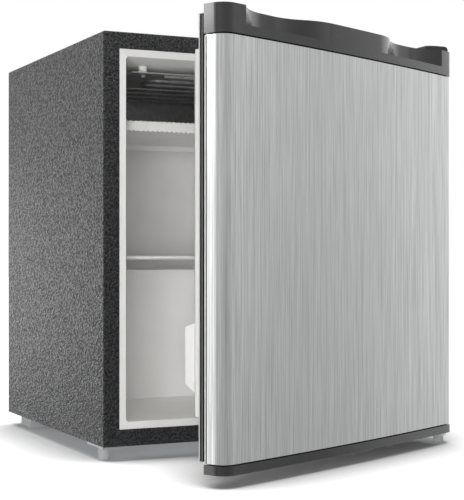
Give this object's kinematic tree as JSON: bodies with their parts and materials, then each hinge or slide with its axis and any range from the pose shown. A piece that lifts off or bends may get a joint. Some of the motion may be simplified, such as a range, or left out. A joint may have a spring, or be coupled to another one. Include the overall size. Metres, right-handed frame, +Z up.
{
  "type": "mini fridge",
  "caption": "Compact box-shaped refrigerator with a bowed brushed-steel door hung on the right, finger scoops in its top cap, a chiller tray, a wire shelf and a rear condenser.",
  "frame": {"origin": "bottom centre of the whole object's box at rest, with the door ajar, at floor level", "axes": "+X to the fridge's right seen from the front, +Y to the back, +Z up; the door faces -Y"},
  "size_m": [0.4456, 0.6264, 0.4906],
  "materials": {
    "textured_steel": "satin",
    "zinc_sheet": "satin",
    "zinc_screws": "satin",
    "foam": "matte",
    "white_liner": "satin",
    "white_moulding": "satin",
    "white_wire": "gloss",
    "roll_bond": "satin",
    "grey_knob": "satin",
    "black_enamel": "satin",
    "pump_iron": "matte",
    "black_moulding": "satin",
    "black_rubber": "matte",
    "copper": "satin",
    "brushed_door": "satin",
    "cap_grey": "satin",
    "gasket_grey": "matte",
    "magnet": "matte",
    "nylon": "satin",
    "grey_feet": "satin"
  },
  "bodies": {
    "cabinet": {"outer_shell": "textured_steel", "front_rail": "textured_steel", "base_pan": "zinc_sheet", "back_panel": "zinc_sheet", "bay_panel": "zinc_sheet", "back_screws": "zinc_screws", "cabinet_foam": "foam", "inner_liner": "white_liner", "evaporator": "roll_bond", "evaporator_spacers": "white_moulding", "evaporator_screws": "zinc_screws", "chiller_tray": "white_moulding", "wire_shelf": "white_wire", "thermostat_box": "white_moulding", "thermostat_switch": "zinc_screws", "compressor_tray": "zinc_sheet", "compressor_grommets": "black_rubber", "compressor_bolts": "zinc_screws", "compressor_base": "black_enamel", "compressor_shell": "black_enamel", "compressor_pump": "pump_iron", "relay_cover": "black_moulding", "cord_gland": "black_rubber", "condenser_tube": "black_enamel", "condenser_wires": "black_enamel", "condenser_brackets": "black_moulding", "discharge_tube": "copper", "suction_tube": "copper", "filter_drier": "copper", "capillary_tube": "copper", "upper_hinge_plate": "zinc_sheet", "upper_hinge_pin": "zinc_screws", "upper_hinge_screws": "zinc_screws", "upper_hinge_cover": "black_moulding", "hinge_hole_plugs": "grey_feet", "lower_hinge_plate": "zinc_sheet", "lower_hinge_pin": "zinc_screws", "lower_hinge_screws": "zinc_screws", "lower_hinge_washer": "nylon", "left_foot_plate": "zinc_sheet", "rear_feet": "grey_feet", "rear_foot_screws": "zinc_screws"},
    "door": {"door_skin": "brushed_door", "door_top_cap": "cap_grey", "door_bottom_cap": "cap_grey", "cap_screws": "zinc_screws", "door_bushes": "nylon", "door_hole_plugs": "cap_grey", "door_foam": "foam", "door_liner": "white_liner", "door_gasket": "gasket_grey", "gasket_magnets": "magnet", "lower_door_rack": "white_moulding", "upper_door_rack": "white_moulding"},
    "knob": {"thermostat_knob": "grey_knob", "thermostat_shaft": "zinc_screws"},
    "foot_left": {"front_foot_left": "grey_feet"},
    "foot_right": {"front_foot_right": "grey_feet"}
  },
  "joints": [
    {"name": "door_swing", "type": "hinge", "parent": "cabinet", "child": "door", "pos_m": [0.20773, -0.12136, 0.0134], "axis": [0, 0, 1], "range_deg": [-25, 95]},
    {"name": "thermostat_turn", "type": "hinge", "parent": "cabinet", "child": "knob", "pos_m": [0.16083, 0.07114, 0.328], "axis": [-1, 0, 0], "range_deg": [-135, 135]},
    {"name": "left_foot_screw", "type": "slide", "parent": "cabinet", "child": "foot_left", "axis": [0, 0, 1], "range_m": [-0.005, 0]},
    {"name": "right_foot_screw", "type": "slide", "parent": "cabinet", "child": "foot_right", "axis": [0, 0, 1], "range_m": [-0.005, 0]}
  ]
}
